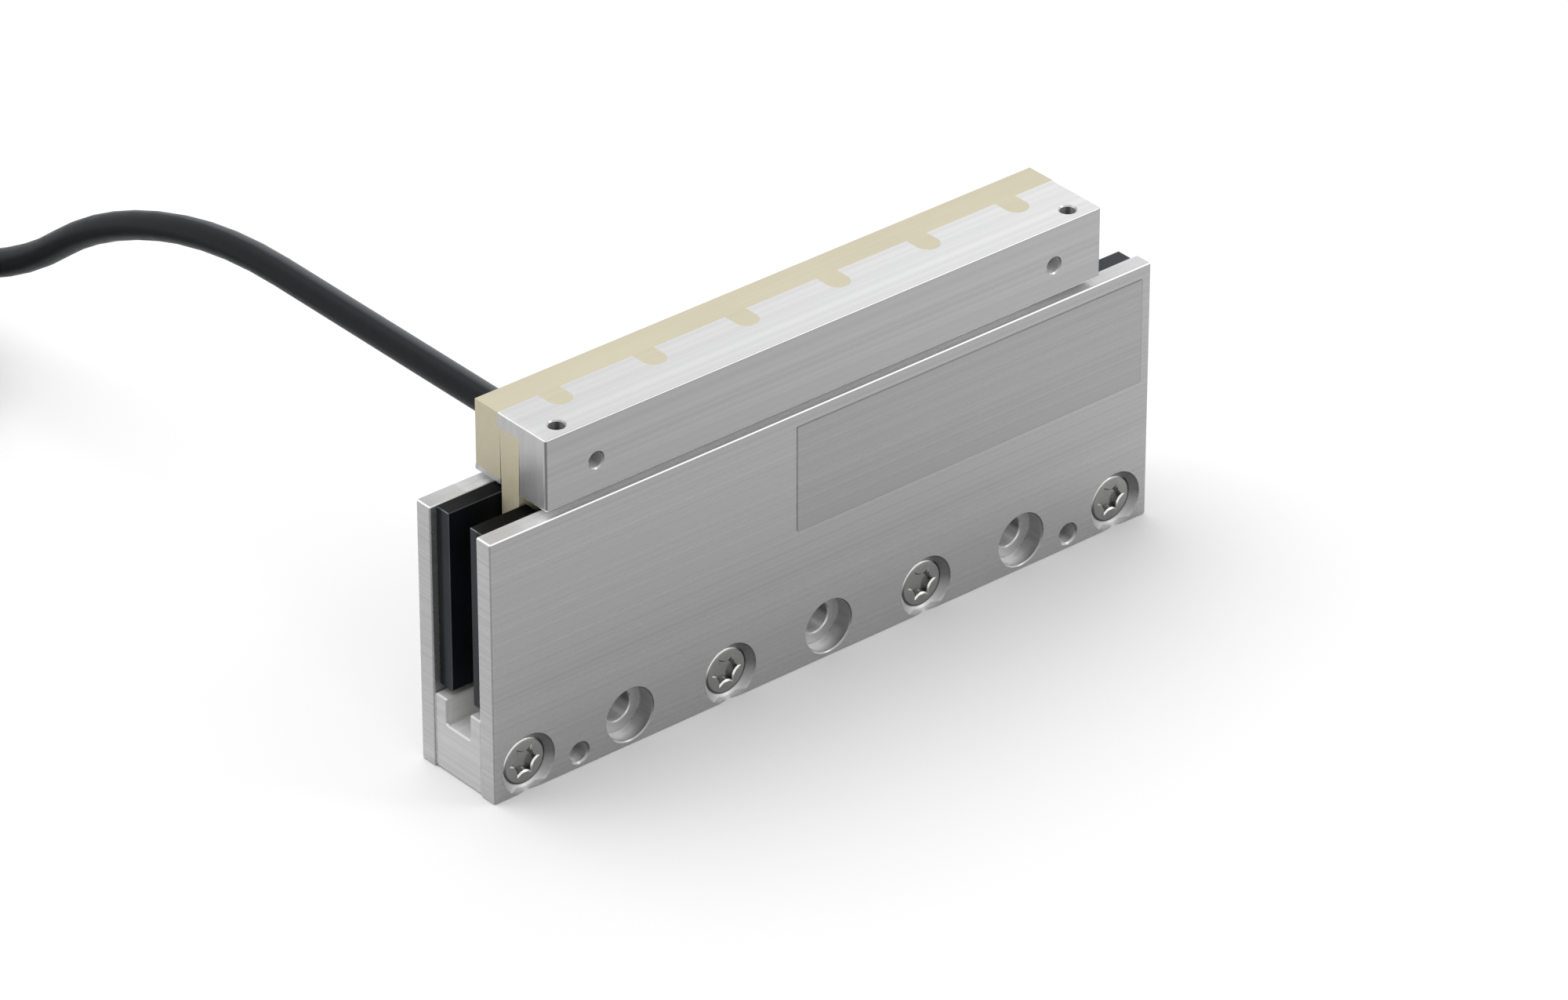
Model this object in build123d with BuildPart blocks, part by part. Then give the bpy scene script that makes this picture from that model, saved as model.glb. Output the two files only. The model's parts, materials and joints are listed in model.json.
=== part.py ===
from build123d import *
from math import cos, pi, radians, sin, sqrt, tan
import os

# Ironless linear motor: a steel yoke lined with magnets, and the potted coil unit that slides in it.
# X runs along the travel, -Y faces the side with the visible screws, Z is up. The origin lies under
# the middle of the yoke, on the surface that it stands on. All sizes are in millimetres.

# Cone angle of the countersinks, and of the broken mouths of the other holes
cone_angle = 90.0

# Yoke plates
poles_per_side = 10
pole_pitch = 8.0
yoke_width = 10.7
plate_thickness = 2.0
plate_height = 27.75
plate_edge_radius = 0.2

# Spacer between the plates
spacer_height = 8.0
trough_depth = 2.8
trough_clearance = 0.45
spacer_lift = 0.1
spacer_end_recess = 0.15
spacer_edge_break = 0.15

# Magnets
magnet_width = 6.5
magnet_thickness = 1.8
magnet_foot_gap = 0.7
magnet_top_inset = 0.1
magnet_edge_break = 0.08

# Joining screws, countersunk into both plates
screw_count = 4
screw_inset = 4.0
screw_height = 2.92
screw_d = 2.5
screw_head_d = 4.9
screw_head_rim = 0.1
screw_hole_d = 2.8
countersink_d = 6.25
screw_seat_gap = 0.03
screw_thread_gap = 0.05
screw_tip_gap = 0.7
screw_tip_break = 0.3
star_points = 6
star_tip_d = 3.5
star_root_d = 2.0
star_depth = 0.6

# Mounting holes midway between the joining screws; their screw heads pass the plate and press on the spacer
mount_height = 3.28
mount_head_d = 5.5
mount_bore_d = 3.2
mount_edge_break = 0.12

# Dowel holes through the yoke
dowel_inset = 10.0
dowel_height = 1.6
dowel_d = 2.0
dowel_edge_break = 0.2

# Coil unit
coil_count = 6
poles_per_coil = 4 / 3
unit_offset = 0.13
unit_end_margin = 1.45
unit_height = 7.5
running_gap = 0.7
air_gap = 0.3
blade_floor_gap = 0.8
blade_root_thickness = 2.8
blade_skin = 0.3
coil_spacing = 0.3
coil_build = 3.2
coil_foot = 0.8
coil_rise = 3.6

# Mounting bar
bar_leg_thickness = 3.8
flange_thickness = 1.4
flange_overhang = 0.3
notch_width = 2.5
notch_depth = 2.8
notch_end_margin = 0.45
bar_corner_radius = 0.3
bar_edge_radius = 0.15
bar_foot_radius = 0.3
tapped_d = 1.6
tapped_edge_break = 0.14
top_hole_end = 2.7
top_hole_front = 1.75
top_hole_depth = 4.0
front_hole_end = 5.85
front_hole_drop = 4.13
front_hole_depth = 2.8

# Resin block behind the bar, and what it holds
block_thickness = 3.65
block_edge_break = 0.1
strip_thickness = 0.6
board_wall = 0.5
board_thickness = 0.8
board_height = 4.8
board_end_margin = 2.4
lead_d = 0.5
lead_spread = 3.0
sensor_length = 3.2
sensor_thickness = 1.2
sensor_height = 1.6
sensor_offset = 8.0

# Cable, and its cores from the jacket's end to the board
cable_d = 2.9
cable_end = 4.6
cable_height = 3.75
cable_insert = 1.75
core_d = 0.6
core_pitch = 0.9

# Wound length of the cable, on its tie
wound_x = -49.5
wound_y = 101.0
wound_radius = 16.0
wound_columns = 3
wound_layers = 3
wound_entry = 2.0
tie_width = 4.0
tie_thickness = 0.3
tie_gap = 0.05
tie_corner_radius = 1.0
tie_twist_length = 7.0
tie_twist_size = 1.2

# Stripped end of the cable
sleeve_d = 3.5
sleeve_length = 9.0
sleeve_overlap = 4.0
sleeve_edge_break = 0.2
lead_count = 4
lead_core_d = 0.85
lead_core_pitch = 1.0
lead_straight = 2.5
lead_drop = 9.0
lead_length = 15.0
lead_fan = 2.6
lead_drop_share = 0.7
ferrule_d = 1.2
ferrule_length = 6.0

# Sizes that follow from those above
yoke_length = poles_per_side * pole_pitch
yoke_half = yoke_width / 2
plate_inner = yoke_half - plate_thickness
screw_pitch = (yoke_length - 2 * screw_inset) / (screw_count - 1)
dowel_pitch = yoke_length - 2 * dowel_inset
magnet_inner = plate_inner - magnet_thickness
magnet_bottom = spacer_height + magnet_foot_gap
magnet_top = plate_height - magnet_top_inset
blade_half = magnet_inner - air_gap
trough_width = 2 * (blade_half + trough_clearance)
trough_floor = spacer_height - trough_depth
coil_pitch = pole_pitch * poles_per_coil
unit_length = coil_count * coil_pitch + 2 * unit_end_margin
unit_bottom = plate_height + running_gap
unit_top = unit_bottom + unit_height
flange_bottom = unit_top - flange_thickness
blade_bottom = trough_floor + blade_floor_gap
root_half = blade_root_thickness / 2
bar_front = -root_half - bar_leg_thickness
flange_rear = root_half + flange_overhang
notch_pitch = (unit_length - 2 * notch_end_margin) / coil_count
block_rear = root_half + block_thickness
block_bottom = unit_bottom + strip_thickness
board_front = root_half + board_wall
board_rear = board_front + board_thickness
board_length = unit_length - 2 * board_end_margin
coil_half = blade_half - blade_skin
coil_thickness = 2 * coil_half
coil_bottom = blade_bottom + coil_foot
coil_top = unit_bottom + coil_rise
coil_width = coil_pitch - coil_spacing
lead_height = coil_top - coil_build / 2
cable_x = unit_offset - unit_length / 2 + cable_end
cable_z = unit_bottom + cable_height
cable_stop = block_rear - cable_insert

# The outer face of each plate: local x runs along the yoke, local y is up, the normal points out
outer_face = {
    "front": Plane(origin=(0, -yoke_half, 0), x_dir=(1, 0, 0), z_dir=(0, -1, 0)),
    "rear": Plane(origin=(0, yoke_half, 0), x_dir=(-1, 0, 0), z_dir=(0, 1, 0)),
}
side_sign = {"front": -1, "rear": 1}

os.makedirs("parts", exist_ok=True)


def keep(piece, name):
    """Labels a finished piece and writes it as a node of that name."""
    piece.part.label = name
    export_step(piece.part, f"parts/{name}.step")


def spaced(count, pitch, middle=0):
    """Places of a row of like features along the yoke."""
    return [middle + (i - (count - 1) / 2) * pitch for i in range(count)]


def yoke_plate(side):
    """A steel plate, drilled from its outer face."""
    with BuildPart(outer_face[side]) as plate:
        with BuildSketch(outer_face[side]):
            Rectangle(yoke_length, plate_height, align=(Align.CENTER, Align.MIN))
        extrude(amount=-plate_thickness)
        fillet(plate.edges(), plate_edge_radius)
        with Locations(*[(x, screw_height) for x in spaced(screw_count, screw_pitch)]):
            CounterSinkHole(screw_hole_d / 2, countersink_d / 2, None, cone_angle)
        with Locations(*[(x, mount_height) for x in spaced(screw_count - 1, screw_pitch)]):
            CounterSinkHole(mount_head_d / 2, mount_head_d / 2 + mount_edge_break, None, cone_angle)
        with Locations(*[(x, dowel_height) for x in spaced(2, dowel_pitch)]):
            CounterSinkHole(dowel_d / 2, dowel_d / 2 + dowel_edge_break, None, cone_angle)
    return plate


for side in outer_face:
    keep(yoke_plate(side), f"{side}_yoke_plate")

# Spacer of U section, drilled right through from side to side
with BuildPart() as spacer:
    with BuildSketch(Plane.YZ):
        with Locations((0, spacer_lift)):
            Rectangle(2 * plate_inner, spacer_height - spacer_lift, align=(Align.CENTER, Align.MIN))
        with Locations((0, trough_floor)):
            Rectangle(trough_width, trough_depth, align=(Align.CENTER, Align.MIN), mode=Mode.SUBTRACT)
    extrude(amount=yoke_length / 2 - spacer_end_recess, both=True)
    trough_foot = spacer.edges().filter_by(Axis.X).filter_by_position(Axis.Z, trough_floor, trough_floor)
    chamfer(spacer.edges() - trough_foot, spacer_edge_break)
    with BuildSketch(Plane.XZ):
        with Locations(*[(x, screw_height) for x in spaced(screw_count, screw_pitch)]):
            Circle(screw_d / 2)
        with Locations(*[(x, dowel_height) for x in spaced(2, dowel_pitch)]):
            Circle(dowel_d / 2)
        with Locations(*[(x, mount_height) for x in spaced(screw_count - 1, screw_pitch)]):
            Circle(mount_bore_d / 2)
    extrude(amount=plate_inner, both=True, mode=Mode.SUBTRACT)
    mount_mouths = spacer.edges().filter_by(
        lambda edge: edge.geom_type == GeomType.CIRCLE and abs(edge.radius - mount_bore_d / 2) < 1e-4
    )
    chamfer(mount_mouths, mount_edge_break)
keep(spacer, "yoke_spacer")


def magnet(side, x):
    """A coated block magnet on the inner face of its plate."""
    y = side_sign[side] * (magnet_inner + magnet_thickness / 2)
    with BuildPart() as block:
        with Locations((x, y, (magnet_bottom + magnet_top) / 2)):
            Box(magnet_width, magnet_thickness, magnet_top - magnet_bottom)
        chamfer(block.edges(), magnet_edge_break)
    return block


for side in outer_face:
    for number, x in enumerate(spaced(poles_per_side, pole_pitch), 1):
        keep(magnet(side, x), f"{side}_magnet_{number}")

# Countersunk screw on its own axis, with the top face of its head at the origin
cone_slope = tan(radians(cone_angle / 2))
head_recess = (countersink_d - screw_head_d) / 2 / cone_slope - screw_head_rim - screw_seat_gap
screw_length = yoke_half - head_recess - screw_tip_gap
shank_radius = screw_d / 2 - screw_thread_gap
cone_end = screw_head_rim + (screw_head_d / 2 - shank_radius) / cone_slope
with BuildPart() as screw:
    with BuildSketch(Plane.XZ):
        with BuildLine():
            Polyline(
                (0, 0),
                (screw_head_d / 2, 0),
                (screw_head_d / 2, -screw_head_rim),
                (shank_radius, -cone_end),
                (shank_radius, screw_tip_break - screw_length),
                (shank_radius - screw_tip_break, -screw_length),
                (0, -screw_length),
                close=True,
            )
        make_face()
    revolve(axis=Axis.Z)
    with BuildSketch():
        with BuildLine():
            star = []
            for i in range(2 * star_points):
                reach = (star_root_d if i % 2 else star_tip_d) / 2
                turn = pi * i / star_points
                star.append((reach * cos(turn), reach * sin(turn)))
            Polyline(*star, close=True)
        make_face()
    extrude(amount=-star_depth, mode=Mode.SUBTRACT)

for side, face in outer_face.items():
    for number, x in enumerate(spaced(screw_count, screw_pitch), 1):
        with BuildPart(face) as placed_screw:
            with Locations((-side_sign[side] * x, screw_height, -head_recess)):
                add(screw.part)
        keep(placed_screw, f"{side}_screw_{number}")

# Notches in the rear edge of the bar's flange, which the resin fills with fingers
with BuildSketch(Plane.XY.offset(unit_top)) as notches:
    notch_row = spaced(coil_count, notch_pitch, unit_offset)
    with Locations(*[(x, flange_rear) for x in notch_row]):
        Rectangle(notch_width, notch_depth - notch_width / 2, align=(Align.CENTER, Align.MAX))
    with Locations(*[(x, flange_rear - notch_depth + notch_width / 2) for x in notch_row]):
        Circle(notch_width / 2)

# Mounting bar: a leg in front of the blade and a flange over it
with BuildPart() as bar:
    with BuildSketch(Plane.YZ.offset(unit_offset)):
        with BuildLine():
            Polyline(
                (bar_front, unit_bottom),
                (-root_half, unit_bottom),
                (-root_half, flange_bottom),
                (flange_rear, flange_bottom),
                (flange_rear, unit_top),
                (bar_front, unit_top),
                close=True,
            )
        make_face()
    extrude(amount=unit_length / 2, both=True)
    fillet(bar.edges().filter_by(Axis.Z).group_by(Axis.Y)[0], bar_corner_radius)
    top_rim = bar.faces().sort_by(Axis.Z)[-1].edges().sort_by(Axis.Y)[:-1]
    foot_rim = bar.faces().sort_by(Axis.Z)[0].edges().sort_by(Axis.Y)[:-1]
    fillet(top_rim, bar_edge_radius)
    fillet(foot_rim, bar_foot_radius)
    extrude(notches.sketch, amount=-flange_thickness, mode=Mode.SUBTRACT)
    top_row = spaced(2, unit_length - 2 * top_hole_end, unit_offset)
    with Locations(*[(x, bar_front + top_hole_front, unit_top) for x in top_row]):
        CounterSinkHole(tapped_d / 2, tapped_d / 2 + tapped_edge_break, top_hole_depth, cone_angle)
    front_row = spaced(2, unit_length - 2 * front_hole_end, unit_offset)
    with Locations(Plane(origin=(0, bar_front, unit_top), x_dir=(1, 0, 0), z_dir=(0, -1, 0))):
        with Locations(*[(x, -front_hole_drop) for x in front_row]):
            CounterSinkHole(tapped_d / 2, tapped_d / 2 + tapped_edge_break, front_hole_depth, cone_angle)
keep(bar, "mounting_bar")

# Outline of the windings, seen along Y: racetracks side by side
coil_middle = (coil_bottom + coil_top) / 2
coil_row = spaced(coil_count, coil_pitch, unit_offset)


def winding(*places):
    """Racetrack rings at the given places along the blade, on its front pocket plane."""
    with BuildSketch(Plane.XZ.offset(coil_half)) as rings:
        with Locations(*[(x, coil_middle) for x in places]):
            SlotOverall(coil_top - coil_bottom, coil_width, rotation=90)
            SlotOverall(
                coil_top - coil_bottom - 2 * coil_build,
                coil_width - 2 * coil_build,
                rotation=90,
                mode=Mode.SUBTRACT,
            )
    return rings.sketch


def lead_ends(y):
    """The section of the winding leads at a given y."""
    with BuildSketch(Plane.XZ.offset(-y)) as ends:
        with Locations(*[(x + s * lead_spread / 2, lead_height) for x in coil_row for s in (-1, 1)]):
            Circle(lead_d / 2)
    return ends.sketch


def core_ends(y):
    """The section of the cable's cores at a given y."""
    with BuildSketch(Plane.XZ.offset(-y)) as ends:
        with Locations((cable_x, cable_z)):
            with GridLocations(core_pitch, core_pitch, 2, 2):
                Circle(core_d / 2)
    return ends.sketch


# Cast blade with open pockets for the windings, and the skin that closes them
with BuildPart() as carrier:
    with BuildSketch(Plane.YZ.offset(unit_offset)):
        with BuildLine():
            Polyline(
                (-coil_half, blade_bottom),
                (blade_half, blade_bottom),
                (blade_half, unit_bottom),
                (root_half, flange_bottom),
                (-coil_half, flange_bottom),
                close=True,
            )
        make_face()
    extrude(amount=unit_length / 2, both=True)
    extrude(winding(*coil_row), amount=-coil_thickness, mode=Mode.SUBTRACT)
    extrude(lead_ends(coil_half), amount=coil_half - root_half, mode=Mode.SUBTRACT)
keep(carrier, "coil_carrier")

with BuildPart() as cover:
    with BuildSketch(Plane.YZ.offset(unit_offset)):
        with BuildLine():
            Polyline(
                (-blade_half, blade_bottom),
                (-coil_half, blade_bottom),
                (-coil_half, flange_bottom),
                (-root_half, flange_bottom),
                (-blade_half, unit_bottom),
                close=True,
            )
        make_face()
    extrude(amount=unit_length / 2, both=True)
keep(cover, "carrier_cover")

for number, x in enumerate(coil_row, 1):
    with BuildPart() as coil:
        extrude(winding(x), amount=-coil_thickness)
    keep(coil, f"coil_{number}")

# Winding leads, which run back through the blade's wall and the resin into the board
with BuildPart() as leads:
    extrude(lead_ends(coil_half), amount=coil_half - board_rear)
keep(leads, "coil_leads")


def board_outline():
    """The board's outline, standing on the strip."""
    with BuildSketch(Plane.XZ.offset(-board_front)) as outline:
        with Locations((unit_offset, block_bottom)):
            Rectangle(board_length, board_height, align=(Align.CENTER, Align.MIN))
    return outline.sketch


def sensor_outline():
    """The sensor's outline on the back of the board."""
    with BuildSketch(Plane.XZ.offset(-board_rear)) as outline:
        with Locations((unit_offset + sensor_offset, block_bottom + board_height / 2)):
            Rectangle(sensor_length, sensor_height)
    return outline.sketch


with BuildPart() as board:
    extrude(board_outline(), amount=-board_thickness)
    extrude(lead_ends(board_front), amount=-board_thickness, mode=Mode.SUBTRACT)
    extrude(core_ends(board_front), amount=-board_thickness, mode=Mode.SUBTRACT)
keep(board, "interconnect_board")

with BuildPart() as sensor:
    extrude(sensor_outline(), amount=-sensor_thickness)
keep(sensor, "temperature_sensor")

with BuildPart() as cores:
    extrude(core_ends(board_front), amount=board_front - cable_stop)
keep(cores, "cable_cores")

# Resin block, cast round the board, the sensor, the leads and the end of the cable
with BuildPart() as block:
    with BuildSketch(Plane.YZ.offset(unit_offset)):
        with BuildLine():
            Polyline(
                (root_half, block_bottom),
                (block_rear, block_bottom),
                (block_rear, unit_top),
                (flange_rear, unit_top),
                (flange_rear, flange_bottom),
                (root_half, flange_bottom),
                close=True,
            )
        make_face()
    extrude(amount=unit_length / 2, both=True)
    rear_rim = block.faces().sort_by(Axis.Y)[-1].edges().sort_by(Axis.Z)[1:]
    chamfer(rear_rim, block_edge_break)
    extrude(notches.sketch, amount=-flange_thickness)
    extrude(board_outline(), amount=-board_thickness, mode=Mode.SUBTRACT)
    extrude(sensor_outline(), amount=-sensor_thickness, mode=Mode.SUBTRACT)
    extrude(lead_ends(root_half), amount=-board_wall, mode=Mode.SUBTRACT)
    extrude(core_ends(board_rear), amount=board_rear - cable_stop, mode=Mode.SUBTRACT)
    with BuildSketch(Plane.XZ.offset(-cable_stop)):
        with Locations((cable_x, cable_z)):
            Circle(cable_d / 2)
    extrude(amount=-cable_insert, mode=Mode.SUBTRACT)
keep(block, "wiring_block")

with BuildPart() as strip:
    with BuildSketch(Plane.XY.offset(unit_bottom)):
        with Locations((unit_offset, root_half)):
            Rectangle(unit_length, block_thickness, align=(Align.CENTER, Align.MIN))
    extrude(amount=strip_thickness)
    chamfer(strip.faces().sort_by(Axis.Z)[0].edges(), block_edge_break)
keep(strip, "block_base_strip")

# A cord's arcs take this share of the shorter of the two runs that they join
arc_share = 0.45


def tube(name, route, diameter):
    """A stretch of cord: straight runs joined by tangent arcs as large as the runs allow."""
    points = [Vector(*place) for place in route]
    radii = []
    for before, corner, after in zip(points, points[1:], points[2:]):
        run_in = corner - before
        run_out = after - corner
        half_turn = radians(run_in.get_angle(run_out) / 2)
        radii.append(arc_share * min(run_in.length, run_out.length) / tan(half_turn))
    with BuildPart() as stretch:
        with BuildLine() as path:
            FilletPolyline(*points, radius=radii)
        with BuildSketch(Plane(origin=path.line @ 0, z_dir=path.line % 0)):
            Circle(diameter / 2)
        sweep()
    long = path.wire().length
    share = stretch.part.volume / (pi * diameter**2 / 4 * long)
    print(f"{name}: {long:.1f} long, radii {[round(r, 1) for r in radii]}, volume ratio {share:.4f}")
    keep(stretch, name)


# The wound length is one ring as wide and high as its turns; the tie passes under it
ring_edge_break = cable_d * (1 - sqrt(0.5))
ring_width = wound_columns * cable_d
ring_height = wound_layers * cable_d
ring_outer = wound_radius + ring_width / 2
ring_inner = wound_radius - ring_width / 2
with BuildPart() as ring:
    with BuildSketch(Plane(origin=(wound_x, wound_y, 0), x_dir=(1, 0, 0), z_dir=(0, -1, 0))) as bundle:
        with Locations((wound_radius, tie_thickness + ring_height / 2)):
            Rectangle(ring_width, ring_height)
        chamfer(bundle.vertices(), ring_edge_break)
    revolve(axis=Axis((wound_x, wound_y, 0), (0, 0, 1)))
keep(ring, "cable_coil")

# Cable: straight out of the block, down to the top turn of the coil, and out of its lowest turn
turn_reach = ring_outer - cable_d / 2
top_turn = tie_thickness + ring_height - cable_d / 2
low_turn = tie_thickness + cable_d / 2
cable_route = [
    (cable_x, cable_stop, cable_z),
    (cable_x, 50.0, cable_z),
    (-28.9, 68.8, 25.4),
    (-29.5, 81.5, 15.0),
    (wound_x + turn_reach, wound_y - wound_entry, top_turn),
]
tail_route = [
    (wound_x - turn_reach, wound_y - wound_entry, low_turn),
    (-69.0, 85.0, 1.5),
    (-71.2, 71.0, 1.75),
]
tube("cable", cable_route, cable_d)
tube("cable_tail", tail_route, cable_d)

# Flat wire tie round the bundle, with its twisted ends on top
tie_inside = wound_y + sqrt(ring_inner**2 - (tie_width / 2) ** 2) - tie_gap
tie_outside = wound_y + ring_outer + tie_gap
tie_top = tie_thickness + ring_height + tie_gap
with BuildPart() as tie:
    with BuildSketch(Plane.YZ.offset(wound_x)):
        with Locations(((tie_inside + tie_outside) / 2, tie_top / 2 + tie_thickness / 2)):
            RectangleRounded(
                tie_outside - tie_inside + 2 * tie_thickness,
                tie_top + tie_thickness,
                tie_corner_radius + tie_thickness,
            )
            RectangleRounded(
                tie_outside - tie_inside,
                tie_top - tie_thickness,
                tie_corner_radius,
                mode=Mode.SUBTRACT,
            )
    extrude(amount=tie_width / 2, both=True)
    with Locations((wound_x, wound_y + wound_radius, tie_top + tie_thickness)):
        Box(tie_twist_size, tie_twist_length, tie_twist_size, align=(Align.CENTER, Align.MAX, Align.MIN))
keep(tie, "cable_tie")

# Shrink sleeve over the end of the jacket
tail_end = Vector(*tail_route[-1])
tail_axis = (tail_end - Vector(*tail_route[-2])).normalized()
sleeve_start = Plane(origin=tail_end - tail_axis * sleeve_overlap, z_dir=tail_axis)
with BuildPart() as sleeve:
    with BuildSketch(sleeve_start):
        Circle(sleeve_d / 2)
    extrude(amount=sleeve_length)
    chamfer(sleeve.edges(), sleeve_edge_break)
    with BuildSketch(sleeve_start):
        Circle(cable_d / 2)
    extrude(amount=sleeve_overlap, mode=Mode.SUBTRACT)
keep(sleeve, "cable_end_sleeve")

# Open cores, which fan out on the floor, and their ferrules
fan_start = tail_end + tail_axis * (sleeve_length - sleeve_overlap)
fan_side = Vector(tail_axis.Y, -tail_axis.X, 0).normalized()
fan_ahead = Vector(tail_axis.X, tail_axis.Y, 0).normalized()
ferrule_planes = []
for number, place in enumerate(spaced(lead_count, lead_fan), 1):
    side = lead_core_pitch / 2 if place > 0 else -lead_core_pitch / 2
    rise = lead_core_pitch / 2 if abs(place) > lead_fan else -lead_core_pitch / 2
    start = fan_start + fan_side * side + Vector(0, 0, rise)
    floor = Vector(0, 0, ferrule_d / 2 - fan_start.Z)
    drop = fan_start + fan_ahead * lead_drop + fan_side * (lead_drop_share * place) + floor
    end = fan_start + fan_ahead * lead_length + fan_side * place + floor
    tube(f"lead_{number}", [start, start + tail_axis * lead_straight, drop, end], lead_core_d)
    ferrule_planes.append(Plane(origin=end, z_dir=end - drop))

with BuildPart() as ferrules:
    for plane in ferrule_planes:
        with BuildSketch(plane):
            Circle(ferrule_d / 2)
        extrude(amount=ferrule_length)
keep(ferrules, "lead_ferrules")
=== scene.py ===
import json
from math import cos, pi, radians, sin
from types import SimpleNamespace

import bmesh
import bpy
from mathutils import Matrix, Vector

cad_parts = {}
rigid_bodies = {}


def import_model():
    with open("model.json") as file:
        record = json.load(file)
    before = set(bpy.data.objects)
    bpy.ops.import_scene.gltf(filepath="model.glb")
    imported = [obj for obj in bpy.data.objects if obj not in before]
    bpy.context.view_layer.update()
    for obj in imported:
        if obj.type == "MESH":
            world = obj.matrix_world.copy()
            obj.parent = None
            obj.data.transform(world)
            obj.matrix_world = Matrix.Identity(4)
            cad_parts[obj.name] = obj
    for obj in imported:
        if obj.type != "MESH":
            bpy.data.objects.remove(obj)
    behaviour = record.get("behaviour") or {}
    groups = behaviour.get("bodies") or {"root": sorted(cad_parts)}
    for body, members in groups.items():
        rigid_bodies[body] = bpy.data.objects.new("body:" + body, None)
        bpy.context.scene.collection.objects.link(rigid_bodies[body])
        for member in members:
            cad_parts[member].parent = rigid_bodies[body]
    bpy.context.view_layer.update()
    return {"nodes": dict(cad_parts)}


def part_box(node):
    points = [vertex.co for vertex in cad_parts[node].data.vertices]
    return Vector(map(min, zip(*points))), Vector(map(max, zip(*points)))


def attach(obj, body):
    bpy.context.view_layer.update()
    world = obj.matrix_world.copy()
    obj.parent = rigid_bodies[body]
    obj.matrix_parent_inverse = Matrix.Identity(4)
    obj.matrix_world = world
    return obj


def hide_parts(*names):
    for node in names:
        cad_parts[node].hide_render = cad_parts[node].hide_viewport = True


# Ironless linear motor: finishes for the yoke and the coil unit, the screws, the blank label film, the
# cable with its tie and its stripped end, and the stage around them. The frame is in metres; the sizes
# of small pieces are written in millimetres, and MM brings them to metres.

bl_info = {
    "name": "Linear motor",
    "version": (1, 0, 0),
    "blender": (4, 5, 0),
    "location": "View3D > Sidebar > Linear motor",
    "description": "Finishes the pieces of an ironless linear motor and sets the stage around it",
    "category": "Object",
}

MM = 0.001

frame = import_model()


# Settings

class StageSettings(bpy.types.PropertyGroup):
    """The camera, the lamps and the floor"""

    azimuth: bpy.props.FloatProperty(
        name="Azimuth", description="Where the camera stands round the motor; 0 looks along +Y",
        default=radians(-40.128), subtype="ANGLE")
    elevation: bpy.props.FloatProperty(
        name="Elevation", description="How far the camera stands above the horizon",
        default=radians(31.076), subtype="ANGLE")
    distance: bpy.props.FloatProperty(
        name="Distance", description="From the camera to the point that it looks at",
        default=0.8086, unit="LENGTH")
    target: bpy.props.FloatVectorProperty(
        name="Target", description="The point that the camera looks at",
        default=(-0.000971, 0.0, 0.014947), subtype="TRANSLATION", precision=6)
    lens: bpy.props.FloatProperty(
        name="Lens", description="Focal length of the camera, in millimetres on a 36 mm sensor",
        default=199.15)
    floor_size: bpy.props.FloatProperty(
        name="Floor size", description="Length of the floor's sides", default=6.0, unit="LENGTH")
    floor_colour: bpy.props.FloatVectorProperty(
        name="Floor colour", description="Colour of the floor", default=(0.86, 0.86, 0.86), subtype="COLOR")
    ambient: bpy.props.FloatProperty(
        name="Ambient light", description="Strength of the light from all round", default=0.86)
    key_light: bpy.props.FloatProperty(
        name="Key light", description="Power of the large lamp overhead, in watts", default=1.9)
    rim_light: bpy.props.FloatProperty(
        name="Rim light", description="Power of the lamp behind the motor, in watts", default=1.23)
    edge_light: bpy.props.FloatProperty(
        name="Edge light", description="Power of the small lamp at the front, in watts", default=0.7)


class FinishSettings(bpy.types.PropertyGroup):
    """The colours of the motor's materials"""

    steel: bpy.props.FloatVectorProperty(
        name="Steel", description="Brushed nickel-plated steel of the yoke", default=(0.37, 0.37, 0.37),
        subtype="COLOR")
    aluminium: bpy.props.FloatVectorProperty(
        name="Aluminium", description="Brushed aluminium of the mounting bar", default=(0.385, 0.385, 0.388),
        subtype="COLOR")
    resin: bpy.props.FloatVectorProperty(
        name="Resin", description="Casting resin of the coil unit", default=(0.47, 0.432, 0.307),
        subtype="COLOR")
    magnet: bpy.props.FloatVectorProperty(
        name="Magnet coating", description="Black coating of the magnets", default=(0.006, 0.0068, 0.0078),
        subtype="COLOR")
    screw: bpy.props.FloatVectorProperty(
        name="Screw", description="Dark nickel-plated steel of the screws", default=(0.275, 0.275, 0.272),
        subtype="COLOR")


class ScrewSettings(bpy.types.PropertyGroup):
    """The sizes of the countersunk screws, in millimetres"""

    rim_radius: bpy.props.FloatProperty(
        name="Rim radius", description="Rounding of the head's edge", default=0.42)
    star_tip: bpy.props.FloatProperty(
        name="Star width", description="Diameter over the tips of the star recess", default=3.55)
    star_root: bpy.props.FloatProperty(
        name="Star root", description="Diameter over the roots of the star recess", default=2.0)
    star_depth: bpy.props.FloatProperty(
        name="Star depth", description="Depth of the star recess", default=0.6)


class FilmSettings(bpy.types.PropertyGroup):
    """The blank label film on the front plate, in millimetres"""

    length: bpy.props.FloatProperty(name="Length", description="Length of the film", default=42.8)
    height: bpy.props.FloatProperty(name="Height", description="Height of the film", default=11.25)
    thickness: bpy.props.FloatProperty(name="Thickness", description="Thickness of the film", default=0.05)
    middle: bpy.props.FloatVectorProperty(
        name="Middle", description="The film's middle, along the plate and above the floor", size=2,
        default=(17.5, 20.725))
    dimming: bpy.props.FloatProperty(
        name="Dimming", description="How light the film is beside the bare plate", default=0.88)
    border_dimming: bpy.props.FloatProperty(
        name="Border dimming", description="The same at the film's edge", default=0.7)


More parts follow.
